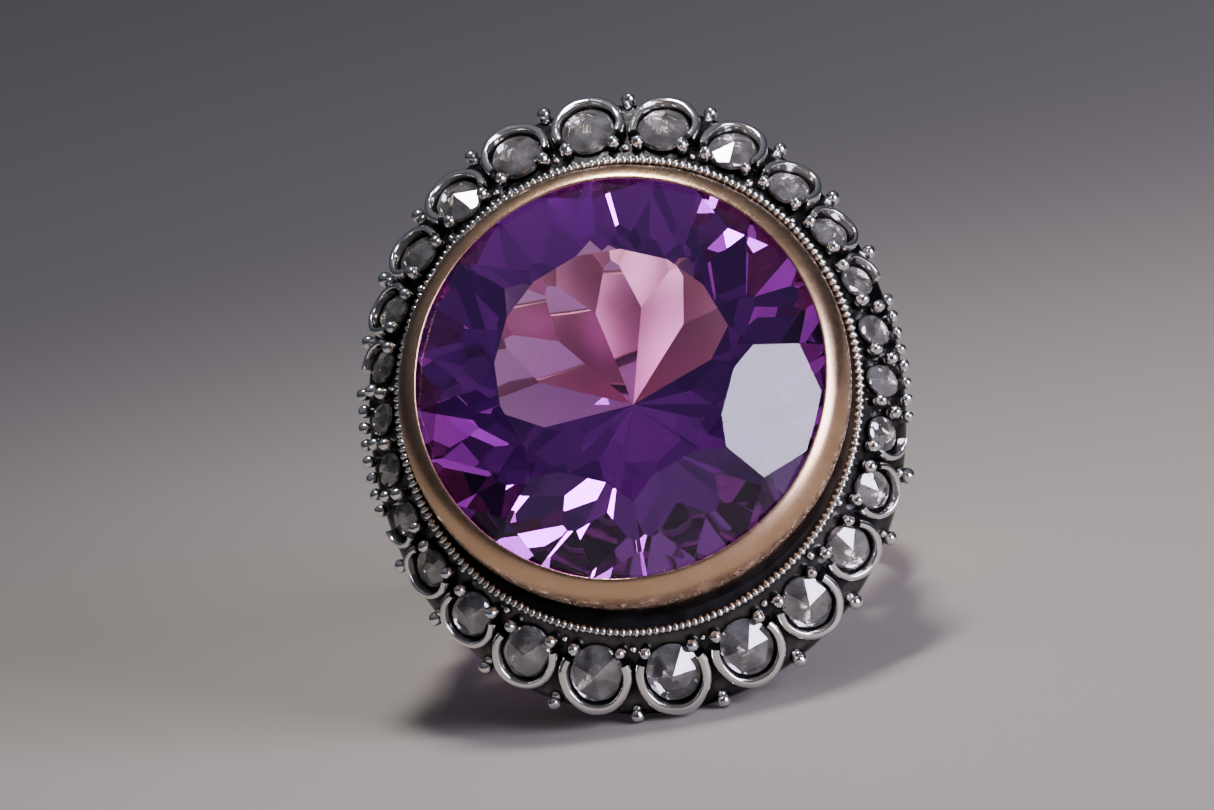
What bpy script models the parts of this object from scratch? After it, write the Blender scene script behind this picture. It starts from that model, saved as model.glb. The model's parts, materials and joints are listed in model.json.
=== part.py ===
"""Cocktail ring: a round amethyst in a rose-gold rub-over rim, on an oval silver head with a halo
of rose-cut diamonds, a pierced gallery and a tapered shank.

The ring is modelled with the finger axis along Y and the head facing +Z, its origin at the middle
of the finger hole. One empty then leans it back until it rests on the lowest grains of the halo
and on the edge of its shank, which is how such a ring lies on a table.
"""
import bpy
import bmesh
from math import cos, pi, radians, sin, sqrt, tan
from mathutils import Matrix, Vector

mm = 0.001

# Shank and shoulders
finger_radius = 7.75 * mm
band_thickness = 0.95 * mm
band_end_angle = radians(123)
band_half_width_back = 1.25 * mm
band_half_width_side = 2.7 * mm
band_half_width_top = 2.9 * mm
band_swell_angle = radians(45)
shoulder_half_width_top = 2.1 * mm
shoulder_half_width_foot = 1.3 * mm

# Head: heights are measured along Z from the plane of the millegrain
head_height = 12.8 * mm
millegrain_ends = 8.82 * mm
millegrain_sides = 8.38 * mm
millegrain_radius = 0.135 * mm

# Amethyst
amethyst_radius = 7.5 * mm
girdle_bottom = 1.9 * mm
girdle_top = 2.2 * mm
crown_angle = radians(30)
crown_turn = radians(21.5)
table_radius = 4.2 * mm
pavilion_turn = radians(-2.5)
culet_angle = radians(39.5)
culet_reach = 3.96 * mm
middle_angle = radians(43.6)
middle_reach = 5.8 * mm
girdle_angle = radians(45.5)

# Halo
stone_count = 26
crowding = 0.066
stone_ring_ends = 10.22 * mm
stone_ring_sides = 9.08 * mm
stone_width_ends = 0.985 * mm
stone_width_sides = 0.58 * mm
stone_length_ends = 1.06 * mm
stone_length_sides = 0.84 * mm
stone_shift_ends = -0.03 * mm
stone_shift_sides = -0.09 * mm
collar_stretch_ends = 1.1
grain_ring_ends = 11.56 * mm
grain_ring_sides = 9.94 * mm
grain_radius = 0.24 * mm
slope_ends = radians(28)
slope_sides = radians(57)
plate_thickness = 0.7 * mm
side_row_beads = 8
side_row_half_angle = radians(13)

# Fit between neighbours
clearance = 0.08 * mm


def swing(ends, sides, angle):
    """A value that is `ends` on the finger axis and `sides` across it, smooth in between."""
    return (ends + sides) / 2 + (ends - sides) / 2 * cos(2 * angle)


def stone_angle(place):
    """Clockwise angle from the finger axis of a place counted in stones."""
    turn = 2 * pi * place / stone_count
    return turn + crowding * sin(2 * turn)


def stone_pitch(angle):
    """Distance between neighbouring stone centres."""
    step = 2 * pi / stone_count * (1 + 2 * crowding * cos(2 * angle))
    return step * swing(stone_ring_ends, stone_ring_sides, angle)


def slope_at(angle):
    return swing(slope_ends, slope_sides, angle)


def plate_inner_radius(angle):
    return swing(millegrain_ends, millegrain_sides, angle) + 0.1 * mm


def plate_frame(angle, radius, lift=0.0):
    """Matrix on the plate's upper face: X clockwise, Y down the slope, Z out of the plate."""
    slope = slope_at(angle)
    outward = Vector((sin(angle), cos(angle), 0))
    clockwise = Vector((cos(angle), -sin(angle), 0))
    up = Vector((0, 0, 1))
    downhill = outward * cos(slope) - up * sin(slope)
    normal = outward * sin(slope) + up * cos(slope)
    drop = 0.15 * mm + (radius - plate_inner_radius(angle)) * tan(slope)
    place = outward * radius + up * (head_height - drop) + normal * lift
    matrix = Matrix((clockwise, downhill, normal)).transposed().to_4x4()
    matrix.translation = place
    return matrix


def finish(name, bm, material, matrix=None, sharp=30):
    """Turn a bmesh into a named object with smooth shading between its sharp edges."""
    bmesh.ops.recalc_face_normals(bm, faces=bm.faces)
    mesh = bpy.data.meshes.new(name)
    bm.to_mesh(mesh)
    bm.free()
    mesh.shade_smooth()
    mesh.set_sharp_from_angle(angle=radians(sharp))
    mesh.materials.append(material)
    piece = bpy.data.objects.new(name, mesh)
    bpy.context.collection.objects.link(piece)
    if matrix is not None:
        piece.matrix_world = matrix
    return piece


def loft(bm, sections, closed):
    """Skin equal sections into one solid: a closed band, or a bar with its two ends filled."""
    rings = [[bm.verts.new(point) for point in section] for section in sections]
    for ring in rings:
        for first, second in zip(ring, ring[1:] + ring[:1]):
            bm.edges.new((first, second))
    pairs = list(zip(rings, rings[1:]))
    if closed:
        pairs.append((rings[-1], rings[0]))
    for near, far in pairs:
        for step, vert in enumerate(near):
            after = (step + 1) % len(near)
            bm.faces.new((vert, near[after], far[after], far[step]))
    if not closed:
        bm.faces.new(rings[0])
        bm.faces.new(rings[-1])


def turned(profile, steps, stretch=None):
    """Sections of a ring turned about the head's axis from (radius, height) points.

    `stretch` moves a point's radius with the angle, for the oval parts of the head."""
    sections = []
    for step in range(steps):
        angle = 2 * pi * step / steps
        section = []
        for radius, height in profile:
            reach = stretch(radius, angle) if stretch else radius
            section.append((reach * sin(angle), reach * cos(angle), head_height + height))
        sections.append(section)
    return sections


def slice_away(bm, point, normal):
    """Cut a convex solid with a plane and close the cut with one facet."""
    whole = bm.verts[:] + bm.edges[:] + bm.faces[:]
    cut = bmesh.ops.bisect_plane(bm, geom=whole, dist=0.002, plane_co=point, plane_no=normal,
                                 clear_outer=True)
    rim = [part for part in cut["geom_cut"] if isinstance(part, bmesh.types.BMEdge)]
    if rim:
        bmesh.ops.edgeloop_fill(bm, edges=rim)


def facet_ring(bm, count, first, tilt, radius, height):
    """A ring of facets, each through a point at `radius` and `height`, tilted from the table."""
    for step in range(count):
        turn = first + 2 * pi * step / count
        normal = Vector((sin(tilt) * cos(turn), sin(tilt) * sin(turn), cos(tilt)))
        point = Vector((radius * cos(turn), radius * sin(turn), height))
        slice_away(bm, point, normal)


def rough_gem(radius, low, high, sides):
    """A gem blank in millimetres, turned round before its facets are cut."""
    bm = bmesh.new()
    bmesh.ops.create_cone(bm, cap_ends=True, segments=sides, radius1=radius, radius2=radius,
                          depth=high - low)
    bmesh.ops.translate(bm, verts=bm.verts, vec=(0, 0, (high + low) / 2))
    return bm


def make_amethyst(material):
    """Round stone: eight-fold crown over a twelve-fold pavilion cut in three rows."""
    radius = amethyst_radius / mm
    low = girdle_bottom / mm
    high = girdle_top / mm
    crown_height = (radius - table_radius / mm) * tan(crown_angle)
    middle = middle_reach / mm
    culet = culet_reach / mm
    middle_level = low - (radius - middle) * tan(girdle_angle)
    culet_level = middle_level - (middle - culet) * tan(middle_angle)
    eighth = pi / 8
    twelfth = pi / 12
    bm = rough_gem(radius, low - radius - 1, high + crown_height, 48)
    facet_ring(bm, 8, crown_turn, crown_angle, radius, high)
    facet_ring(bm, 16, crown_turn + eighth / 2, crown_angle + radians(8), radius, high)
    facet_ring(bm, 8, crown_turn + eighth, crown_angle - radians(13), radius * 0.62,
               high + crown_height * 0.93)
    facet_ring(bm, 24, pavilion_turn + twelfth / 2, pi - girdle_angle, radius, low)
    facet_ring(bm, 12, pavilion_turn + twelfth, pi - middle_angle, middle, middle_level)
    facet_ring(bm, 12, pavilion_turn, pi - culet_angle, culet, culet_level)
    bmesh.ops.scale(bm, verts=bm.verts, vec=(mm, mm, mm))
    bmesh.ops.translate(bm, verts=bm.verts, vec=(0, 0, head_height))
    return finish("amethyst", bm, material, sharp=1)


def make_rose_diamond(number, collared, material):
    """Oval rose cut: a flat back, a low girdle and a dome of six over twelve facets."""
    angle = stone_angle(number)
    width = min(swing(stone_width_ends, stone_width_sides, angle), collar_inner(angle) - 0.02 * mm)
    length = swing(stone_length_ends, stone_length_sides, angle)
    if collared:
        length = min(length, collar_inner(angle) * collar_stretch(angle))
    height = 0.6
    bm = rough_gem(1, 0, height, 12)
    facet_ring(bm, 12, pi / 12, radians(58), cos(pi / 12), 0.14)
    facet_ring(bm, 6, 0, radians(24), 0, height)
    bmesh.ops.scale(bm, verts=bm.verts, vec=(width, length, width))
    shift = swing(stone_shift_ends, stone_shift_sides, angle)
    bmesh.ops.translate(bm, verts=bm.verts, vec=(0, shift, 0))
    matrix = plate_frame(angle, swing(stone_ring_ends, stone_ring_sides, angle), 0.04 * mm)
    return finish(f"rose_diamond_{number + 1:02d}", bm, material, matrix, sharp=1)


def collar_outer(angle):
    return 0.488 * stone_pitch(angle)


def collar_inner(angle):
    return collar_outer(angle) - 0.13 * stone_pitch(angle)


def collar_stretch(angle):
    """How much further a collar reaches at its apex than at its sides."""
    return swing(collar_stretch_ends, 1, angle)


def make_collar(name, number, start, end, material):
    """Horseshoe wall around a stone, from one clock angle to another about its own centre."""
    angle = stone_angle(number)
    stretch = collar_stretch(angle)
    inner = collar_inner(angle)
    outer = collar_outer(angle)
    rim = outer - inner
    profile = ((inner, 0.0), (inner + rim * 0.1, 0.4 * mm), (inner + rim * 0.4, 0.5 * mm),
               (outer - rim * 0.25, 0.42 * mm), (outer, 0.0))
    steps = max(4, round((end - start) / radians(20)))
    sections = []
    for step in range(steps + 1):
        turn = start + (end - start) * step / steps
        apex = cos(turn) * stretch if cos(turn) > 0 else cos(turn)
        sections.append([(reach * sin(turn), reach * apex, height) for reach, height in profile])
    bm = bmesh.new()
    loft(bm, sections, closed=False)
    matrix = plate_frame(angle, swing(stone_ring_ends, stone_ring_sides, angle), clearance)
    return finish(name, bm, material, matrix)


def make_bezel(material):
    """Gold rim: a turned wall that bulges, leans in over the girdle and seats the stone."""
    profile = ((7.92, -0.6), (7.98, 0.3), (8.2, 0.95), (8.18, 1.45), (8.05, 1.9), (7.84, 2.25),
               (7.62, 2.43), (7.43, 2.5), (7.38, 2.44), (7.57, 2.37), (7.57, 1.7), (7.1, 1.35),
               (7.1, -0.6))
    bm = bmesh.new()
    loft(bm, turned([(radius * mm, height * mm) for radius, height in profile], 48), closed=True)
    return finish("bezel_rim", bm, material)


def make_collet_cup(material):
    """Silver cup under the gold: the floor of the channel and the ledge that the gold stands on."""
    def oval(radius, angle):
        if radius > millegrain_sides:
            return swing(millegrain_ends, millegrain_sides, angle) + radius - millegrain_sides
        return radius
    profile = ((8.26, -0.19), (8.42, -0.19), (8.42, -1.3), (8.2, -1.62), (7.2, -1.62), (7.2, -0.65),
               (8.26, -0.65))
    bm = bmesh.new()
    loft(bm, turned([(radius * mm, height * mm) for radius, height in profile], 48, oval), closed=True)
    return finish("collet_cup", bm, material)


def make_millegrain(material):
    """Oval wire that carries the fine beading between the gold and the diamonds."""
    def oval(radius, angle):
        return swing(millegrain_ends, millegrain_sides, angle) + radius
    profile = [(millegrain_radius * sin(turn), millegrain_radius * cos(turn))
               for turn in (pi / 3 * corner for corner in range(6))]
    bm = bmesh.new()
    loft(bm, turned(profile, 64, oval), closed=True)
    return finish("millegrain_ring", bm, material)


def grain_ring(angle):
    return swing(grain_ring_ends, grain_ring_sides, angle)


def make_halo_plate(material, grain_places):
    """Domed silver plate that drapes down at the sides, with a grain in each outer notch."""
    sections = []
    steps = 4 * stone_count
    for step in range(steps):
        angle = 2 * pi * step / steps
        outer = grain_ring(angle) - 0.13 * mm
        inner = plate_inner_radius(angle)
        top_inner = plate_frame(angle, inner).translation
        top_outer = plate_frame(angle, outer).translation
        outward = Vector((sin(angle), cos(angle), 0))
        depth = Vector((0, 0, -plate_thickness))
        bottom_outer = top_outer + depth - outward * 0.12 * mm
        bottom_inner = top_inner + depth * 1.5
        sections.append((top_inner, top_outer, bottom_outer, bottom_inner))
    bm = bmesh.new()
    loft(bm, sections, closed=True)
    plate = finish("halo_plate", bm, material)
    grains = bmesh.new()
    for place in grain_places:
        angle = stone_angle(place)
        matrix = plate_frame(angle, grain_ring(angle), 0.1 * mm)
        bmesh.ops.create_icosphere(grains, subdivisions=2, radius=grain_radius, matrix=matrix)
    cutter = finish("grain_guide", grains, material)
    cutter.hide_render = True
    cutter.display_type = "WIRE"
    union = plate.modifiers.new("grains", "BOOLEAN")
    union.operation = "UNION"
    union.object = cutter
    return plate, cutter


def make_bead_row(name, middle, material):
    """Row of touching beads along the plate's side, where the halo is narrowest."""
    rounds = 6
    steps = side_row_beads * rounds
    corners = 8
    sections = []
    for step in range(steps + 1):
        along = step / rounds
        swell = abs(sin(pi * along))
        size = grain_radius * (0.42 + 0.58 * swell ** 0.5)
        if step in (0, steps):
            size = grain_radius * 0.3
        turn = middle + side_row_half_angle * (along / side_row_beads * 2 - 1) * 1.13
        matrix = plate_frame(turn, grain_ring(turn) - 0.3 * mm, 0.3 * mm)
        section = []
        for corner in range(corners):
            spin = 2 * pi * corner / corners
            section.append(matrix @ Vector((0, size * cos(spin), size * sin(spin))))
        sections.append(section)
    bm = bmesh.new()
    loft(bm, sections, closed=False)
    return finish(name, bm, material)


def rail_height(across):
    """Height of the gallery's foot, which follows the finger."""
    return sqrt((finger_radius + 0.35 * mm) ** 2 - across ** 2)


def make_gallery(material):
    """Tapered wall under the cup, pierced by arches, its foot hollowed to the finger."""
    top = head_height - 1.66 * mm
    top_radius = 7.75 * mm
    foot_radius = 6.75 * mm
    wall = 0.5 * mm
    sections = []
    steps = 48
    for step in range(steps):
        angle = 2 * pi * step / steps
        foot = rail_height(foot_radius * sin(angle))
        section = []
        for radius, height in ((top_radius, top), (foot_radius, foot), (foot_radius - wall, foot),
                               (top_radius - wall, top)):
            section.append((radius * sin(angle), radius * cos(angle), height))
        sections.append(section)
    bm = bmesh.new()
    loft(bm, sections, closed=True)
    gallery = finish("gallery", bm, material)
    cutters = bmesh.new()
    arches = 12
    for arch in range(arches):
        angle = 2 * pi * (arch + 0.5) / arches
        foot = rail_height(foot_radius * sin(angle)) + 0.7 * mm
        head = top - 0.6 * mm
        matrix = Matrix.Rotation(-angle, 4, "Z") @ Matrix.Translation((0, 7.1 * mm, (foot + head) / 2))
        matrix = matrix @ Matrix.Rotation(pi / 2, 4, "X") @ Matrix.Diagonal((1, (head - foot) / 2 / mm, 1, 1))
        bmesh.ops.create_cone(cutters, cap_ends=True, segments=12, radius1=1.15 * mm,
                              radius2=1.15 * mm, depth=3 * mm, matrix=matrix)
    cutter = finish("arch_guide", cutters, material)
    cutter.hide_render = True
    cutter.display_type = "WIRE"
    pierce = gallery.modifiers.new("arches", "BOOLEAN")
    pierce.object = cutter
    return gallery, cutter


def band_half_width(angle):
    """Half the band's width at an angle from the back of the shank."""
    turn = abs(angle)
    if turn < band_swell_angle:
        rise = (1 - cos(turn)) / (1 - cos(band_swell_angle))
        return band_half_width_back + (band_half_width_side - band_half_width_back) * rise
    rest = (turn - band_swell_angle) / (band_end_angle - band_swell_angle)
    return band_half_width_side + (band_half_width_top - band_half_width_side) * rest


def make_shank(material):
    """Open hoop, D-shaped in section, that widens from the back towards the head."""
    steps = 60
    sections = []
    for step in range(steps + 1):
        angle = band_end_angle * (2 * step / steps - 1)
        half = band_half_width(angle)
        outline = ((finger_radius, half), (finger_radius + band_thickness * 0.55, half),
                   (finger_radius + band_thickness * 0.92, half * 0.62),
                   (finger_radius + band_thickness, 0),
                   (finger_radius + band_thickness * 0.92, -half * 0.62),
                   (finger_radius + band_thickness * 0.55, -half), (finger_radius, -half))
        sections.append([(reach * sin(angle), width, -reach * cos(angle)) for reach, width in outline])
    bm = bmesh.new()
    loft(bm, sections, closed=False)
    return finish("shank", bm, material)


def make_shoulder(name, side, material):
    """Tapered bracket that carries the plate on the shank, on one side of the finger."""
    seat = finger_radius + band_thickness + 0.05 * mm
    rounds = 6
    low = radians(73)
    high = pi - band_end_angle
    foot = [low + (high - low) * step / rounds for step in range(rounds + 1)]
    outline = [(seat * sin(turn), seat * cos(turn)) for turn in foot]
    outline += [(8.05 * mm, head_height - 4.9 * mm), (8.3 * mm, head_height - 2.9 * mm),
                (8.65 * mm, head_height - 1.95 * mm), (9.25 * mm, head_height - 3.0 * mm),
                (9.2 * mm, head_height - 5.0 * mm), (9.05 * mm, 4.2 * mm)]
    bm = bmesh.new()
    face = bm.faces.new([bm.verts.new((side * across, -1, height)) for across, height in outline])
    grown = bmesh.ops.extrude_face_region(bm, geom=[face])
    moved = [part for part in grown["geom"] if isinstance(part, bmesh.types.BMVert)]
    bmesh.ops.translate(bm, verts=moved, vec=(0, 2, 0))
    top = head_height - 1.95 * mm
    for vert in bm.verts:
        fallen = (top - vert.co.z) / (top - seat * cos(low))
        vert.co.y *= shoulder_half_width_top + (shoulder_half_width_foot - shoulder_half_width_top) * fallen
    bmesh.ops.bevel(bm, geom=[edge for edge in bm.edges if abs(edge.calc_face_angle()) > radians(60)],
                    offset=0.15 * mm, affect="EDGES", segments=1, profile=0.5, material=-1)
    return finish(name, bm, material)


def paint(name, colour, roughness, metallic, clear=0.0):
    """A Principled material with one colour."""
    material = bpy.data.materials.new(name)
    material.use_nodes = True
    shader = material.node_tree.nodes["Principled BSDF"]
    shader.inputs["Base Color"].default_value = (*colour, 1)
    shader.inputs["Roughness"].default_value = roughness
    shader.inputs["Metallic"].default_value = metallic
    shader.inputs["Transmission Weight"].default_value = clear
    material.diffuse_color = (*colour, 1)
    return material


def lowest(points, lean):
    return min(point.y * cos(lean) + point.z * sin(lean) for point in points)


def resting_lean(head_points, shank_points):
    """Lean at which the head and the shank reach equally low."""
    low, high = radians(5), radians(60)
    for _ in range(40):
        lean = (low + high) / 2
        if lowest(head_points, lean) < lowest(shank_points, lean):
            low = lean
        else:
            high = lean
    return lean


def corners_of(pieces):
    """Vertices of finished pieces, with their modifiers, in world space."""
    depsgraph = bpy.context.evaluated_depsgraph_get()
    points = []
    for piece in pieces:
        shown = piece.evaluated_get(depsgraph)
        mesh = shown.to_mesh()
        points += [shown.matrix_world @ vert.co for vert in mesh.vertices]
        shown.to_mesh_clear()
    return points


def set_down(pieces, guides, shank):
    """Lean the ring back on its own contact points and centre its box over the origin."""
    bpy.context.view_layer.update()
    head_points = corners_of([piece for piece in pieces if piece is not shank])
    lean = resting_lean(head_points, corners_of([shank]))
    rest = bpy.data.objects.new("ring_rest", None)
    bpy.context.collection.objects.link(rest)
    for piece in pieces + guides:
        piece.parent = rest
    rest.rotation_euler = (pi / 2 - lean, 0, 0)
    bpy.context.view_layer.update()
    points = corners_of(pieces)
    lows = [min(point[axis] for point in points) for axis in range(3)]
    highs = [max(point[axis] for point in points) for axis in range(3)]
    rest.location = (-(lows[0] + highs[0]) / 2, -(lows[1] + highs[1]) / 2, -lows[2])
    bpy.context.view_layer.update()


def main():
    for thing in list(bpy.data.objects):
        bpy.data.objects.remove(thing, do_unlink=True)
    violet = paint("amethyst violet", (0.21, 0.05, 0.36), 0.02, 0.0, 0.6)
    gold = paint("rose gold", (0.55, 0.33, 0.2), 0.3, 1.0)
    dark_silver = paint("oxidised silver", (0.06, 0.06, 0.065), 0.45, 1.0)
    silver = paint("worn silver", (0.45, 0.44, 0.43), 0.28, 1.0)
    band_gold = paint("shank gold", (0.6, 0.42, 0.25), 0.3, 1.0)
    diamond = paint("rose-cut diamond", (0.55, 0.56, 0.57), 0.03, 0.0, 0.5)

    # The four stones nearest each side have no full collar: two have half a collar, two have none.
    half_collars = {5: -1, 8: 1, 18: -1, 21: 1}
    bare = {6, 7, 19, 20}
    grain_places = [place + 0.5 for place in range(stone_count)
                    if not {place, (place + 1) % stone_count} & bare]

    pieces = [make_amethyst(violet), make_bezel(gold), make_collet_cup(dark_silver),
              make_millegrain(silver)]
    plate, grain_guide = make_halo_plate(dark_silver, grain_places)
    gallery, arch_guide = make_gallery(dark_silver)
    pieces += [plate, gallery]
    for number in range(stone_count):
        pieces.append(make_rose_diamond(number, number not in bare, diamond))
        name = f"scallop_collar_{number + 1:02d}"
        if number in half_collars:
            way = half_collars[number]
            span = sorted((way * radians(-5), way * radians(112)))
            pieces.append(make_collar(name, number, span[0], span[1], silver))
        elif number not in bare:
            pieces.append(make_collar(name, number, radians(-118), radians(118), silver))
    pieces.append(make_bead_row("bead_row_right", pi / 2, silver))
    pieces.append(make_bead_row("bead_row_left", 3 * pi / 2, silver))
    shank = make_shank(band_gold)
    pieces += [shank, make_shoulder("shoulder_right", 1, dark_silver),
               make_shoulder("shoulder_left", -1, dark_silver)]
    set_down(pieces, [grain_guide, arch_guide], shank)


main()
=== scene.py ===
import json
import random
from math import atan2, cos, pi, radians, sin, tan
import bmesh
import bpy
from mathutils import Matrix, Vector, noise


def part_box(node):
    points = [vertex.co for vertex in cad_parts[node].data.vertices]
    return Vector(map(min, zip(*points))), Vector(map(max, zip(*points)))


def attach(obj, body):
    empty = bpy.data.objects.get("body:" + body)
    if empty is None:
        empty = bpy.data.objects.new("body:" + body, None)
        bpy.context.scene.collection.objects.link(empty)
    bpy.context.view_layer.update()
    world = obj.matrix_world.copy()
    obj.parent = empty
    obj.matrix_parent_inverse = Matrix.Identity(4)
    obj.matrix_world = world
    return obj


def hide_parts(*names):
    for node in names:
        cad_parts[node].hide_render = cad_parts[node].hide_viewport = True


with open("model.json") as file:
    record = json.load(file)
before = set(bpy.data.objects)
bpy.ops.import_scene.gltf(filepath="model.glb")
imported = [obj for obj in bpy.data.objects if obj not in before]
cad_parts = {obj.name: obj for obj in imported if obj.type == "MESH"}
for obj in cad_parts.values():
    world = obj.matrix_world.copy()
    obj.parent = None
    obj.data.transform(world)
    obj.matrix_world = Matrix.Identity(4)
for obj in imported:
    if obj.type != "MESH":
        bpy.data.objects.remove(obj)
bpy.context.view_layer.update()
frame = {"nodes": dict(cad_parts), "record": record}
mm = 0.001
nodes = frame["nodes"]

# The head's own frame: X across the finger, Y along the finger, Z out of the big stone.
# Its origin is the middle of the millegrain ring, and every head piece is measured from there.
tableMount = next(mount for mount in frame["record"]["mounts"] if mount["name"] == "table_facet")
headAxis = Vector(tableMount["axis"]).normalized()
millLow, millHigh = (Vector(corner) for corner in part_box("millegrain_ring"))
headMiddle = (millLow + millHigh) / 2
across = Vector((1, 0, 0))
headPlace = Matrix((across, headAxis.cross(across), headAxis)).transposed().to_4x4()
headPlace.translation = headMiddle


def srgb(code):
    channels = [int(code[start:start + 2], 16) / 255 for start in (0, 2, 4)]
    return [value / 12.92 if value <= 0.04045 else ((value + 0.055) / 1.055) ** 2.4
            for value in channels]


def swing(ends, sides, angle):  # one value on the finger axis, another across it
    return (ends + sides) / 2 + (ends - sides) / 2 * cos(2 * angle)


# the halo's layout, as the CAD has it; pairs are on the finger axis and across it
halo = {
    "stones": 26, "crowding": 0.066,
    "stoneRing": (10.22 * mm, 9.08 * mm), "grainRing": (11.56 * mm, 9.94 * mm),
    "stoneWidth": (0.985 * mm, 0.58 * mm), "stoneLength": (1.06 * mm, 0.84 * mm),
    "stoneShift": (-0.03 * mm, -0.09 * mm),
    "slope": (radians(28), radians(57)), "collarStretch": (1.1, 1.0),
    "millegrain": (8.82 * mm, 8.38 * mm),
    "bare": (6, 7, 19, 20), "half": {5: -1, 8: 1, 18: -1, 21: 1},
}


def stoneAngle(place):
    turn = 2 * pi * place / halo["stones"]
    return turn + halo["crowding"] * sin(2 * turn)


def stoneRing(angle):
    return swing(*halo["stoneRing"], angle)


def grainRing(angle):
    return swing(*halo["grainRing"], angle)


def stonePitch(angle):
    step = 2 * pi / halo["stones"] * (1 + 2 * halo["crowding"] * cos(2 * angle))
    return step * stoneRing(angle)


def millegrainRadius(angle):
    return swing(*halo["millegrain"], angle)


def onPlate(angle, radius, lift=0.0):  # X clockwise, Y down the slope, Z out of the plate
    slope = swing(*halo["slope"], angle)
    outward = Vector((sin(angle), cos(angle), 0))
    clockwise = Vector((cos(angle), -sin(angle), 0))
    downhill = outward * cos(slope) - Vector((0, 0, sin(slope)))
    normal = outward * sin(slope) + Vector((0, 0, cos(slope)))
    drop = 0.15 * mm + (radius - millegrainRadius(angle) - 0.1 * mm) * tan(slope)
    place = Matrix((clockwise, downhill, normal)).transposed().to_4x4()
    place.translation = outward * radius - Vector((0, 0, drop)) + normal * lift
    return place


def newMaterial(name):
    material = bpy.data.materials.new(name)
    material.use_nodes = True
    shader = material.node_tree.nodes["Principled BSDF"]
    return material, material.node_tree, shader


def addNode(tree, kind, settings=None, links=None):
    node = tree.nodes.new(kind)
    for key, value in (settings or {}).items():
        if isinstance(key, str) and hasattr(node, key):
            setattr(node, key, value)
        else:
            node.inputs[key].default_value = value
    for key, source in (links or {}).items():
        tree.links.new(source, node.inputs[key])
    return node


def addRamp(tree, source, stops):
    ramp = addNode(tree, "ShaderNodeValToRGB", links={"Fac": source})
    ramp.color_ramp.elements[0].position, ramp.color_ramp.elements[0].color = stops[0]
    ramp.color_ramp.elements[1].position, ramp.color_ramp.elements[1].color = stops[-1]
    for position, colour in stops[1:-1]:
        ramp.color_ramp.elements.new(position).color = colour
    return ramp


def tone(code):
    return (*srgb(code), 1)


def objectPoint(tree, stretch=(1, 1, 1)):  # object coordinates in millimetres
    coordinates = addNode(tree, "ShaderNodeTexCoord")
    mapping = addNode(tree, "ShaderNodeMapping", {"Scale": [value / mm for value in stretch]},
                      {"Vector": coordinates.outputs["Object"]})
    return mapping.outputs["Vector"]


def roseGoldWornPolish():
    # old 9 ct rose gold, burnished by hand and worn satin
    material, tree, shader = newMaterial("roseGoldWornPolish")
    point = objectPoint(tree)
    cloud = addNode(tree, "ShaderNodeTexNoise", {"Scale": 0.5, "Detail": 3.0}, {"Vector": point})
    tint = addRamp(tree, cloud.outputs["Fac"], [(0.3, tone("cba481")), (0.7, tone("dcb794"))])
    tree.links.new(tint.outputs["Color"], shader.inputs["Base Color"])
    haze = addNode(tree, "ShaderNodeTexNoise", {"Scale": 2.0, "Detail": 4.0}, {"Vector": point})
    rough = addNode(tree, "ShaderNodeMapRange", {"To Min": 0.2, "To Max": 0.34},
                    {"Value": haze.outputs["Fac"]})
    tree.links.new(rough.outputs["Result"], shader.inputs["Roughness"])
    streak = addNode(tree, "ShaderNodeTexNoise", {"Scale": 1.0, "Detail": 2.0, "Roughness": 0.4},
                     {"Vector": objectPoint(tree, (0.8, 2.4, 2.4))})
    bump = addNode(tree, "ShaderNodeBump", {"Strength": 0.4, "Distance": 0.008 * mm},
                   {"Height": streak.outputs["Fac"]})
    tree.links.new(bump.outputs["Normal"], shader.inputs["Normal"])
    shader.inputs["Metallic"].default_value = 1.0
    return material


def oxidisedSilver(name, bright, dull, depth):
    # sterling silver blackened with liver of sulphur, then polished back on what stands proud
    material, tree, shader = newMaterial(name)
    point = objectPoint(tree)
    cavity = addNode(tree, "ShaderNodeAmbientOcclusion", {"Distance": depth, "samples": 6})
    cloud = addNode(tree, "ShaderNodeTexNoise", {"Scale": 2.2, "Detail": 4.0}, {"Vector": point})
    mottled = addNode(tree, "ShaderNodeMath", {"operation": "MULTIPLY_ADD", 1: 0.5, 2: -0.25},
                      {0: cloud.outputs["Fac"]})
    worn = addNode(tree, "ShaderNodeMath", {"operation": "ADD"},
                   {0: cavity.outputs["AO"], 1: mottled.outputs["Value"]})
    tint = addRamp(tree, worn.outputs["Value"],
                   [(0.3, tone("1a1a1b")), (0.6, tone(dull)), (0.9, tone(bright))])
    tree.links.new(tint.outputs["Color"], shader.inputs["Base Color"])
    rough = addNode(tree, "ShaderNodeMapRange",
                    {"From Min": 0.3, "From Max": 0.9, "To Min": 0.42, "To Max": 0.14},
                    {"Value": worn.outputs["Value"]})
    tree.links.new(rough.outputs["Result"], shader.inputs["Roughness"])
    dents = addNode(tree, "ShaderNodeTexNoise", {"Scale": 3.0, "Detail": 2.0}, {"Vector": point})
    bump = addNode(tree, "ShaderNodeBump", {"Strength": 0.5, "Distance": 0.03 * mm},
                   {"Height": dents.outputs["Fac"]})
    tree.links.new(bump.outputs["Normal"], shader.inputs["Normal"])
    shader.inputs["Metallic"].default_value = 1.0
    return material


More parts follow.
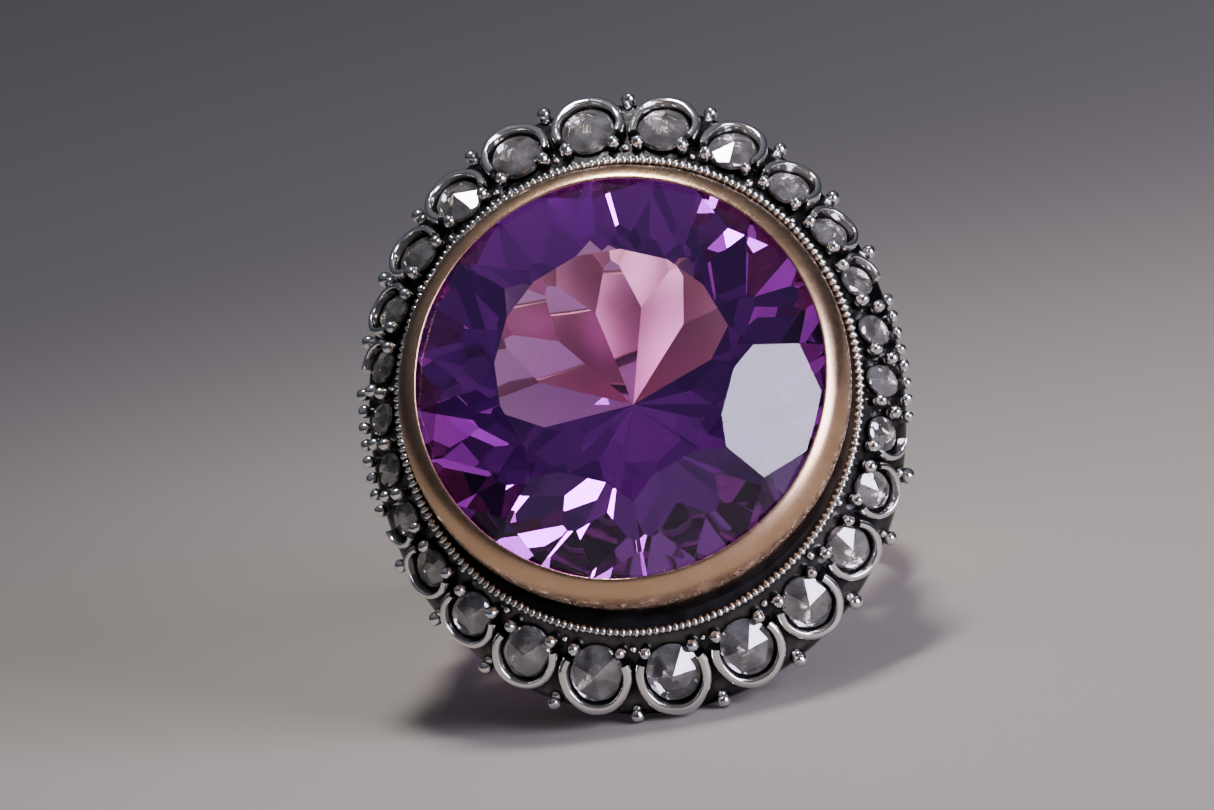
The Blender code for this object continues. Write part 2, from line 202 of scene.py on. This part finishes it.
def paleGoldWorn():
    # the shank's gold, rubbed pale and satin by years of wear
    material, tree, shader = newMaterial("paleGoldWorn")
    point = objectPoint(tree)
    cloud = addNode(tree, "ShaderNodeTexNoise", {"Scale": 0.5, "Detail": 3.0}, {"Vector": point})
    tint = addRamp(tree, cloud.outputs["Fac"], [(0.3, tone("e3c7a2")), (0.7, tone("edd6b6"))])
    tree.links.new(tint.outputs["Color"], shader.inputs["Base Color"])
    streak = addNode(tree, "ShaderNodeTexNoise", {"Scale": 1.0, "Detail": 2.0, "Roughness": 0.4},
                     {"Vector": objectPoint(tree, (0.8, 2.4, 2.4))})
    bump = addNode(tree, "ShaderNodeBump", {"Strength": 0.4, "Distance": 0.01 * mm},
                   {"Height": streak.outputs["Fac"]})
    tree.links.new(bump.outputs["Normal"], shader.inputs["Normal"])
    shader.inputs["Roughness"].default_value = 0.42
    shader.inputs["Metallic"].default_value = 1.0
    return material


def blackenedSilver():
    # the channel was never polished back: sulphide black with a low sheen
    material, tree, shader = newMaterial("blackenedSilver")
    point = objectPoint(tree)
    cloud = addNode(tree, "ShaderNodeTexNoise", {"Scale": 1.5, "Detail": 4.0}, {"Vector": point})
    tint = addRamp(tree, cloud.outputs["Fac"], [(0.35, tone("161617")), (0.7, tone("2d2e31"))])
    tree.links.new(tint.outputs["Color"], shader.inputs["Base Color"])
    shader.inputs["Metallic"].default_value = 0.8
    shader.inputs["Roughness"].default_value = 0.45
    return material


def amethystQuartz():
    # amethyst is quartz, IOR 1.544: clear, with the violet in its depth
    material, tree, shader = newMaterial("amethystQuartz")
    shader.inputs["Base Color"].default_value = (1, 1, 1, 1)
    shader.inputs["Transmission Weight"].default_value = 1.0
    shader.inputs["IOR"].default_value = 1.544
    shader.inputs["Roughness"].default_value = 0.0
    depth = addNode(tree, "ShaderNodeVolumeAbsorption",
                    {"Color": (0.84, 0.02, 0.94, 1), "Density": 175.0})
    tree.links.new(depth.outputs["Volume"], tree.nodes["Material Output"].inputs["Volume"])
    return material


def roseCutDiamond():
    # old rose-cut diamond, IOR 2.417, cloudy grey-brown with its inclusions
    material, tree, shader = newMaterial("roseCutDiamond")
    point = objectPoint(tree)
    cloud = addNode(tree, "ShaderNodeTexNoise", {"Scale": 1.8, "Detail": 4.0}, {"Vector": point})
    tint = addRamp(tree, cloud.outputs["Fac"], [(0.35, tone("968d82")), (0.65, tone("f3f1ee"))])
    tree.links.new(tint.outputs["Color"], shader.inputs["Base Color"])
    wave = addNode(tree, "ShaderNodeTexNoise", {"Scale": 1.3, "Detail": 2.0}, {"Vector": point})
    bump = addNode(tree, "ShaderNodeBump", {"Strength": 0.3, "Distance": 0.02 * mm},
                   {"Height": wave.outputs["Fac"]})
    tree.links.new(bump.outputs["Normal"], shader.inputs["Normal"])
    shader.inputs["Transmission Weight"].default_value = 0.89
    shader.inputs["IOR"].default_value = 2.417
    shader.inputs["Roughness"].default_value = 0.02
    return material


def tarnishedFoil():
    # silver foil laid behind each old diamond, gone grey-brown in patches
    material, tree, shader = newMaterial("tarnishedFoil")
    cloud = addNode(tree, "ShaderNodeTexNoise", {"Scale": 1.6, "Detail": 3.0},
                    {"Vector": objectPoint(tree)})
    tint = addRamp(tree, cloud.outputs["Fac"], [(0.35, tone("8b847a")), (0.65, tone("dedbd5"))])
    tree.links.new(tint.outputs["Color"], shader.inputs["Base Color"])
    crease = addNode(tree, "ShaderNodeTexNoise", {"Scale": 2.5, "Detail": 3.0},
                     {"Vector": objectPoint(tree)})
    bump = addNode(tree, "ShaderNodeBump", {"Strength": 0.6, "Distance": 0.06 * mm},
                   {"Height": crease.outputs["Fac"]})
    tree.links.new(bump.outputs["Normal"], shader.inputs["Normal"])
    shader.inputs["Metallic"].default_value = 1.0
    shader.inputs["Roughness"].default_value = 0.15
    return material


def paleFloorPaint():
    material, tree, shader = newMaterial("paleFloorPaint")
    shader.inputs["Base Color"].default_value = tone("9f9991")
    shader.inputs["Roughness"].default_value = 0.7
    return material


roseGold = roseGoldWornPolish()
shankGold = paleGoldWorn()
brightSilver = oxidisedSilver("silverHighPolish", "e6e4e1", "a3a19e", 0.16 * mm)
darkSilver = oxidisedSilver("silverBlackened", "605f5e", "222122", 0.6 * mm)
gallerySilver = oxidisedSilver("silverDullGrey", "a9a6a2", "524f4c", 0.5 * mm)
amethyst = amethystQuartz()
blackSilver = blackenedSilver()
diamond = roseCutDiamond()
stoneFoil = tarnishedFoil()
print("materials ready")


def finishPiece(name, bm, material, replaced=(), sharp=40, place=headPlace):
    # the mesh is made in the head's frame, and place carries it into the world
    bmesh.ops.transform(bm, matrix=place, verts=bm.verts)
    bmesh.ops.recalc_face_normals(bm, faces=bm.faces)
    mesh = bpy.data.meshes.new(name)
    bm.to_mesh(mesh)
    bm.free()
    mesh.shade_smooth()
    mesh.set_sharp_from_angle(angle=radians(sharp))
    mesh.materials.append(material)
    piece = bpy.data.objects.new(name, mesh)
    bpy.context.collection.objects.link(piece)
    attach(piece, "root")
    if replaced:
        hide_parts(*replaced)
    return piece


def smoothLine(points, steps, closed):  # rounds a given outline through its points
    count = len(points)
    line = []
    for index in range(count if closed else count - 1):
        if closed:
            window = [Vector(points[(index + shift) % count]) for shift in (-1, 0, 1, 2)]
        else:
            window = [Vector(points[min(max(index + shift, 0), count - 1)]) for shift in (-1, 0, 1, 2)]
        before, start, end, after = window
        for step in range(steps):
            part = step / steps
            line.append(0.5 * (2 * start + (end - before) * part
                               + (2 * before - 5 * start + 4 * end - after) * part ** 2
                               + (3 * start - before - 3 * end + after) * part ** 3))
    if not closed:
        line.append(Vector(points[-1]))
    return line


def spinOutline(bm, outline, steps, angle=2 * pi, start=0.0):
    # an outline of (radius, height) points, turned about Z clockwise from Y
    verts = [bm.verts.new((radius * sin(start), radius * cos(start), height))
             for radius, height in outline]
    edges = [bm.edges.new((first, second)) for first, second in zip(verts, verts[1:] + verts[:1])]
    whole = abs(angle - 2 * pi) < 1e-6
    bmesh.ops.spin(bm, geom=verts + edges, cent=(0, 0, 0), axis=(0, 0, -1), angle=angle,
                   steps=steps, use_merge=whole)
    if not whole:
        bmesh.ops.holes_fill(bm, edges=[edge for edge in bm.edges if edge.is_boundary], sides=0)


def handWork(bm, amount, size):  # the small unevenness of a piece made by hand
    for vert in bm.verts:
        vert.co += noise.noise_vector(vert.co / size) * amount


def sliceAway(bm, point, normal):
    geometry = bm.verts[:] + bm.edges[:] + bm.faces[:]
    cut = bmesh.ops.bisect_plane(bm, geom=geometry, dist=0.002, plane_co=point, plane_no=normal,
                                 clear_outer=True)
    rim = [part for part in cut["geom_cut"] if isinstance(part, bmesh.types.BMEdge)]
    if rim:
        bmesh.ops.edgeloop_fill(bm, edges=rim)


def facetRing(bm, count, first, tilt, radius, height):
    for step in range(count):
        turn = first + 2 * pi * step / count
        normal = Vector((sin(tilt) * cos(turn), sin(tilt) * sin(turn), cos(tilt)))
        sliceAway(bm, Vector((radius * cos(turn), radius * sin(turn), height)), normal)


def gemBlank(radius, low, high, sides):  # in millimetres, as lapidaries count
    bm = bmesh.new()
    bmesh.ops.create_cone(bm, cap_ends=True, segments=sides, radius1=radius, radius2=radius,
                          depth=high - low)
    bmesh.ops.translate(bm, verts=bm.verts, vec=(0, 0, (high + low) / 2))
    return bm


amethystCut = {  # in millimetres from the plane of the millegrain
    "radius": 7.5, "girdleLow": 1.9, "girdleHigh": 2.2, "table": 4.2,
    "crown": radians(30), "crownTurn": radians(21.5), "pavilionTurn": radians(-2.5),
    "breakSteeper": radians(8), "starFlatter": radians(13), "starPlace": (0.62, 0.93),
    "culet": (3.96, radians(39.5)), "middle": (5.8, radians(43.6)), "girdle": radians(45.5),
}


def makeAmethyst():
    cut = amethystCut
    radius, low, high, turn = cut["radius"], cut["girdleLow"], cut["girdleHigh"], cut["crownTurn"]
    crownHeight = (radius - cut["table"]) * tan(cut["crown"])
    bm = gemBlank(radius, low - radius - 1, high + crownHeight, 64)
    facetRing(bm, 8, turn, cut["crown"], radius, high)
    facetRing(bm, 16, turn + pi / 16, cut["crown"] + cut["breakSteeper"], radius, high)
    starOut, starUp = cut["starPlace"]
    facetRing(bm, 8, turn + pi / 8, cut["crown"] - cut["starFlatter"], radius * starOut,
              high + crownHeight * starUp)
    turn = cut["pavilionTurn"]
    facetRing(bm, 24, turn + pi / 24, pi - cut["girdle"], radius, low)
    reach, tilt = cut["middle"]
    level = low - (radius - reach) * tan(cut["girdle"])
    facetRing(bm, 12, turn + pi / 12, pi - tilt, reach, level)
    level -= (reach - cut["culet"][0]) * tan(tilt)
    reach, tilt = cut["culet"]
    facetRing(bm, 12, turn, pi - tilt, reach, level)
    bmesh.ops.scale(bm, verts=bm.verts, vec=(mm, mm, mm))
    return finishPiece("amethystStone", bm, amethyst, ["amethyst"], sharp=1)


makeAmethyst()
print("amethyst cut")


rimShape = {  # outlines are (radius, height) in millimetres; the first `rounded` points are smoothed
    "outline": [(7.92, -0.6), (7.98, 0.3), (8.17, 0.85), (8.2, 1.15), (8.17, 1.55), (8.04, 1.93),
                (7.84, 2.24), (7.62, 2.42), (7.45, 2.5), (7.39, 2.48), (7.385, 2.43), (7.56, 2.32),
                (7.57, 1.7), (7.1, 1.35), (7.1, -0.6)],
    "rounded": 11, "steps": 220, "unevenness": (0.02 * mm, 2.2 * mm),
}
cupShape = {
    "outline": [(8.24, -0.2), (8.42, -0.2), (8.42, -1.3), (8.2, -1.62), (7.2, -1.62), (7.2, -0.65),
                (8.24, -0.65)],
    "steps": 128, "wallStarts": 8.3 * mm, "wallPastBeads": 0.04 * mm,
}


def makeRim():
    bm = bmesh.new()
    corners = rimShape["outline"]
    smooth = smoothLine(corners[:rimShape["rounded"]], 4, closed=False)
    outline = [(point[0] * mm, point[1] * mm) for point in smooth]
    outline += [(radius * mm, height * mm) for radius, height in corners[rimShape["rounded"]:]]
    spinOutline(bm, outline, rimShape["steps"])
    handWork(bm, *rimShape["unevenness"])
    return finishPiece("goldRim", bm, roseGold, ["bezel_rim"])


def makeCup():
    bm = bmesh.new()
    spinOutline(bm, [(radius * mm, height * mm) for radius, height in cupShape["outline"]],
                cupShape["steps"])
    for vert in bm.verts:
        reach = Vector((vert.co.x, vert.co.y)).length
        if reach > cupShape["wallStarts"]:
            around = atan2(vert.co.x, vert.co.y)
            stretch = (millegrainRadius(around) + cupShape["wallPastBeads"]) / reach
            vert.co.x *= stretch
            vert.co.y *= stretch
    return finishPiece("channelCup", bm, blackSilver, ["collet_cup"])


makeRim()
makeCup()
print("gold rim and cup turned")


# bead is a share of the pitch, deep is how far each bead is drawn out across the wire
millegrain = {"pitch": (0.238 * mm, 0.27 * mm), "bead": 0.5, "deep": 1.45, "wire": 0.1 * mm,
              "wireLow": -0.09 * mm, "wireSteps": 160}


def makeMillegrain():
    random.seed(4)
    bm = bmesh.new()
    wire, low = millegrain["wire"], millegrain["wireLow"]
    ring = [(wire * sin(turn), low + wire * cos(turn)) for turn in (pi / 4 * corner for corner in range(8))]
    roundRadius = 8 * mm  # the wire is spun round and then stretched to the oval
    spinOutline(bm, [(roundRadius + radius, height) for radius, height in ring],
                millegrain["wireSteps"])
    for vert in bm.verts:
        reach = Vector((vert.co.x, vert.co.y)).length
        stretch = (reach - roundRadius + millegrainRadius(atan2(vert.co.x, vert.co.y))) / reach
        vert.co.x *= stretch
        vert.co.y *= stretch
    angle = 0.0
    while angle < 2 * pi - 0.5 * millegrain["pitch"][0] / millegrainRadius(0):
        reach = millegrainRadius(angle)
        pitch = swing(*millegrain["pitch"], angle)
        size = millegrain["bead"] * pitch * random.uniform(0.9, 1.04)
        place = Matrix.Rotation(-angle, 4, "Z") @ Matrix.Translation(
            (0, reach + random.uniform(-0.008, 0.008) * mm, random.uniform(-0.01, 0.01) * mm))
        place = place @ Matrix.Diagonal((0.9, millegrain["deep"], 1, 1))
        bmesh.ops.create_uvsphere(bm, u_segments=8, v_segments=6, radius=size, matrix=place)
        angle += pitch / reach
    return finishPiece("millegrainEdge", bm, brightSilver, ["millegrain_ring"],
                       sharp=80)


makeMillegrain()
print("millegrain rolled")


# outer and rim are shares of the stones' pitch
collarShape = {"outer": 0.495, "rim": 0.125, "height": 0.54 * mm, "reach": radians(116),
               "halfReach": (radians(-5), radians(112)), "unevenness": (0.045 * mm, 0.8 * mm)}
grainSize = {"outer": 0.28 * mm, "inner": 0.245 * mm, "small": 0.15 * mm}


plateShape = {  # outline points are a share of the way out and a depth under the upper face
    "face": [(0.0, 0.0), (0.5, 0.0), (0.93, 0.0)],
    "edge": [(0.985, 0.06), (1.0, 0.16), (0.99, 0.5), (0.96, 0.7), (0.9, 0.72), (0.05, 1.0),
             (0.0, 0.95)],
    "steps": 260, "pastBeads": 0.06 * mm, "insideGrains": 0.12 * mm,
}


def makePlate():
    bm = bmesh.new()
    outline = [(point[0], point[1]) for point in smoothLine(plateShape["face"], 4, closed=False)]
    outline += plateShape["edge"]
    spinOutline(bm, [(1 + along, depth) for along, depth in outline], plateShape["steps"])
    for vert in bm.verts:
        angle = atan2(vert.co.x, vert.co.y)
        along = Vector((vert.co.x, vert.co.y)).length - 1
        inner = millegrainRadius(angle) + plateShape["pastBeads"]
        outer = grainRing(angle) - plateShape["insideGrains"]
        top = onPlate(angle, inner + (outer - inner) * along).translation
        vert.co = top - Vector((0, 0, vert.co.z * mm))
    return finishPiece("haloPlate", bm, darkSilver, ["halo_plate"])


def collarOuter(angle):
    return collarShape["outer"] * stonePitch(angle)


def collarInner(angle):
    return collarOuter(angle) - collarShape["rim"] * stonePitch(angle)


def makeCollar(number, start, end):
    angle = stoneAngle(number)
    inner, outer = collarInner(angle), collarOuter(angle)
    rim = outer - inner
    height = collarShape["height"]
    corners = [(inner + rim * 0.02, -0.1 * mm), (inner, height * 0.5),
               (inner + rim * 0.06, height * 0.9), (inner + rim * 0.26, height),
               (inner + rim * 0.68, height * 0.97), (outer - rim * 0.07, height * 0.8),
               (outer, height * 0.4), (outer, -0.25 * mm)]
    outline = [(point[0], point[1]) for point in smoothLine(corners, 3, closed=False)]
    bm = bmesh.new()
    spinOutline(bm, outline, 40, end - start, start)
    for vert in bm.verts:
        if vert.co.y > 0:
            vert.co.y *= swing(*halo["collarStretch"], angle)
    bmesh.ops.transform(bm, matrix=onPlate(angle, stoneRing(angle)), verts=bm.verts)
    handWork(bm, *collarShape["unevenness"])
    name = f"scallop_collar_{number + 1:02d}"
    return finishPiece(f"collar{number + 1:02d}", bm, brightSilver, [name], sharp=60)


# most stones lie as they fell into their settings; the turned ones have a facet that faces the
# window, by a spin and a tilt in degrees
diamondCut = {
    "height": 0.6, "lean": 0.04, "tilt": (19, 25),
    "turned": {0: (-65, 24), 1: (-59, 22), 3: (-60, 24), 8: (-89, 25), 10: (-127, 20), 12: (-153, 26),
               13: (-149, 29)},
}


def makeDiamond(number):
    angle = stoneAngle(number)
    width = min(swing(*halo["stoneWidth"], angle), collarInner(angle) - 0.02 * mm)
    length = swing(*halo["stoneLength"], angle)
    if number not in halo["bare"]:
        length = min(length, collarInner(angle) * swing(*halo["collarStretch"], angle))
    shift = swing(*halo["stoneShift"], angle)
    height, most = diamondCut["height"], diamondCut["lean"]
    spin, tilt = random.uniform(0, 360), random.uniform(*diamondCut["tilt"])
    spin, tilt = (radians(turn) for turn in diamondCut["turned"].get(number, (spin, tilt)))
    lean = Matrix.Rotation(random.uniform(-most, most), 4, "X")
    lean @= Matrix.Rotation(random.uniform(-most, most), 4, "Y")
    bm = gemBlank(1, 0, height, 18)
    facetRing(bm, 6, spin + pi / 6, radians(62), 1, 0.12)
    facetRing(bm, 12, spin + pi / 12, radians(42), 0.95, 0.22)
    facetRing(bm, 6, spin, tilt, 0, height)
    bmesh.ops.scale(bm, verts=bm.verts, vec=(width, length, width))
    for face in bm.faces:
        face.material_index = 1 if face.calc_center_median().z < 0.001 * mm else 0
    place = onPlate(angle, stoneRing(angle), 0.06 * mm) @ lean @ Matrix.Translation((0, shift, 0))
    bmesh.ops.transform(bm, matrix=place, verts=bm.verts)
    name = f"rose_diamond_{number + 1:02d}"
    piece = finishPiece(f"diamond{number + 1:02d}", bm, diamond, [name], sharp=1)
    piece.data.materials.append(stoneFoil)
    return piece


def addGrain(bm, place, size, tall=1.0):
    size *= random.uniform(0.9, 1.05)
    bmesh.ops.create_uvsphere(bm, u_segments=12, v_segments=8, radius=size,
                              matrix=place @ Matrix.Diagonal((1, 1, tall, 1)))


def makeGrains():
    random.seed(11)
    bm = bmesh.new()
    bare = halo["bare"]
    for number in range(halo["stones"]):
        after = (number + 1) % halo["stones"]
        middle = stoneAngle(number + 0.5)
        if number not in bare and after not in bare:
            place = onPlate(middle, grainRing(middle) - 0.03 * mm, 0.1 * mm)
            addGrain(bm, place, grainSize["outer"])
            stem = onPlate(middle, grainRing(middle) - 0.24 * mm)
            addGrain(bm, stem, grainSize["small"] * 1.2)
        angle = stoneAngle(number)
        pitch = stonePitch(angle)
        for side in (-1, 1):
            other = (number + side) % halo["stones"]
            if number in bare or other in bare:
                continue
            place = onPlate(angle, stoneRing(angle)) @ Matrix.Translation(
                (side * 0.31 * pitch, -0.33 * pitch, 0.25 * mm))
            addGrain(bm, place, grainSize["inner"], 1.3)
        if number in bare or after in bare:
            for along, aside in ((-0.3, -0.13), (0.16, 0.13)):
                place = onPlate(middle, stoneRing(middle) + along * mm, 0.3 * mm)
                addGrain(bm, place @ Matrix.Translation((aside * mm, 0, 0)), grainSize["inner"], 1.3)
        else:
            place = onPlate(middle, stoneRing(middle) - 0.86 * mm, 0.06 * mm)
            addGrain(bm, place, grainSize["small"] * random.uniform(0.7, 1.1))
    handWork(bm, 0.035 * mm, 0.25 * mm)
    return finishPiece("setterGrains", bm, brightSilver, (), sharp=80)


beadRow = {"beads": 8, "halfAngle": radians(13), "spread": 1.13, "bead": (0.22, 0.25),
           "unevenness": (0.05 * mm, 0.3 * mm)}


def makeBeadRow(name, node, middle):
    bm = bmesh.new()
    beads = beadRow["beads"]
    for bead in range(beads):
        turn = middle + beadRow["halfAngle"] * ((bead + 0.5) / beads * 2 - 1) * beadRow["spread"]
        place = onPlate(turn, grainRing(turn) - 0.3 * mm, 0.16 * mm)
        bmesh.ops.create_cone(bm, cap_ends=True, segments=12, radius1=0.2 * mm, radius2=0.17 * mm,
                              depth=0.4 * mm, matrix=place)
        place = place @ Matrix.Translation((0, 0, 0.15 * mm)) @ Matrix.Diagonal((1.02, 1, 1.05, 1))
        bmesh.ops.create_uvsphere(bm, u_segments=14, v_segments=10,
                                  radius=random.uniform(*beadRow["bead"]) * mm, matrix=place)
    handWork(bm, *beadRow["unevenness"])
    return finishPiece(name, bm, brightSilver, [node], sharp=60)


random.seed(7)
makePlate()
for stone in range(halo["stones"]):
    makeDiamond(stone)
    if stone in halo["half"]:
        way = halo["half"][stone]
        first, last = sorted(way * turn for turn in collarShape["halfReach"])
        makeCollar(stone, first, last)
    elif stone not in halo["bare"]:
        makeCollar(stone, -collarShape["reach"], collarShape["reach"])
makeGrains()
makeBeadRow("beadRowRight", "bead_row_right", pi / 2)
makeBeadRow("beadRowLeft", "bead_row_left", 3 * pi / 2)
print("halo set")


def softened(name, node, material, width, segments):  # a CAD shape with its edges eased
    bm = bmesh.new()
    bm.from_mesh(nodes[node].data)
    bmesh.ops.remove_doubles(bm, verts=bm.verts, dist=0.002 * mm)
    bmesh.ops.dissolve_limit(bm, angle_limit=radians(1), verts=bm.verts, edges=bm.edges)
    edges = [edge for edge in bm.edges if edge.is_manifold and edge.calc_face_angle(0) > radians(35)]
    bmesh.ops.bevel(bm, geom=edges, offset=width, affect="EDGES", segments=segments, profile=0.5,
                    material=-1)
    return finishPiece(name, bm, material, [node], place=Matrix.Identity(4))


softened("galleryWall", "gallery", gallerySilver, 0.05 * mm, 2)
softened("shoulderRight", "shoulder_right", gallerySilver, 0.1 * mm, 2)
softened("shoulderLeft", "shoulder_left", gallerySilver, 0.1 * mm, 2)
softened("ringShank", "shank", shankGold, 0.1 * mm, 3)
print("gallery, shoulders and shank softened")


floorSize = 1.5
view = {"pitch": radians(-14.2), "yaw": radians(-7.5), "roll": radians(10.5),
        "distance": 222 * mm, "lens": 182.3, "aside": (0.76 * mm, 0.4 * mm)}
sky = [(0.0, (0.03, 0.035, 0.045, 1)), (0.3, (0.04, 0.05, 0.07, 1)), (1.0, (0.2, 0.2, 0.24, 1))]
lights = {  # facing is a direction as the camera sees it: right, up, towards the camera
    "windowRight": {"facing": (0.66, 0.27, 0.70), "distance": 260 * mm, "size": (130 * mm, 160 * mm),
                    "power": 1.4, "colour": (0.80, 0.75, 1.0), "spread": 180},
    "overhead": {"facing": (-0.15, 0.94, 0.2), "distance": 300 * mm, "size": (60 * mm, 60 * mm),
                 "power": 0.026, "colour": (1.0, 0.97, 0.94), "spread": 30},
}


def makeFloor():
    bm = bmesh.new()
    bmesh.ops.create_grid(bm, x_segments=1, y_segments=1, size=floorSize)
    mesh = bpy.data.meshes.new("paleFloor")
    bm.to_mesh(mesh)
    bm.free()
    mesh.materials.append(paleFloorPaint())
    floor = bpy.data.objects.new("paleFloor", mesh)
    bpy.context.collection.objects.link(floor)


def makeCamera():
    turn = (Matrix.Rotation(view["yaw"], 3, "Y") @ Matrix.Rotation(view["pitch"], 3, "X")
            @ Matrix.Rotation(view["roll"], 3, "Z"))
    facing = headPlace.to_3x3() @ turn.transposed()
    camera = bpy.data.objects.new("camera", bpy.data.cameras.new("camera"))
    bpy.context.collection.objects.link(camera)
    camera.data.lens = view["lens"]
    camera.data.clip_start = 0.01
    place = facing.to_4x4()
    place.translation = headMiddle - facing @ Vector((*view["aside"], -view["distance"]))
    camera.matrix_world = place
    bpy.context.scene.camera = camera
    return facing


def makeLight(name, cameraFacing):
    light = lights[name]
    data = bpy.data.lights.new(name, "AREA")
    data.shape = "RECTANGLE"
    data.size, data.size_y = light["size"]
    data.energy = light["power"]
    data.color = light["colour"]
    data.spread = radians(light["spread"])
    lamp = bpy.data.objects.new(name, data)
    bpy.context.collection.objects.link(lamp)
    towards = (cameraFacing @ Vector(light["facing"])).normalized()
    lamp.location = headMiddle + towards * light["distance"]
    lamp.rotation_euler = towards.to_track_quat("Z", "Y").to_euler()


def makeWorld():
    world = bpy.data.worlds.new("studio")
    bpy.context.scene.world = world
    world.use_nodes = True
    tree = world.node_tree
    point = addNode(tree, "ShaderNodeTexCoord")
    split = addNode(tree, "ShaderNodeSeparateXYZ", links={"Vector": point.outputs["Generated"]})
    fade = addRamp(tree, split.outputs["Z"], sky)
    tree.links.new(fade.outputs["Color"], tree.nodes["Background"].inputs["Color"])
    tree.nodes["Background"].inputs["Strength"].default_value = 1.0


makeFloor()
facing = makeCamera()
makeWorld()
for light in lights:
    makeLight(light, facing)
print("floor, camera and lights placed")
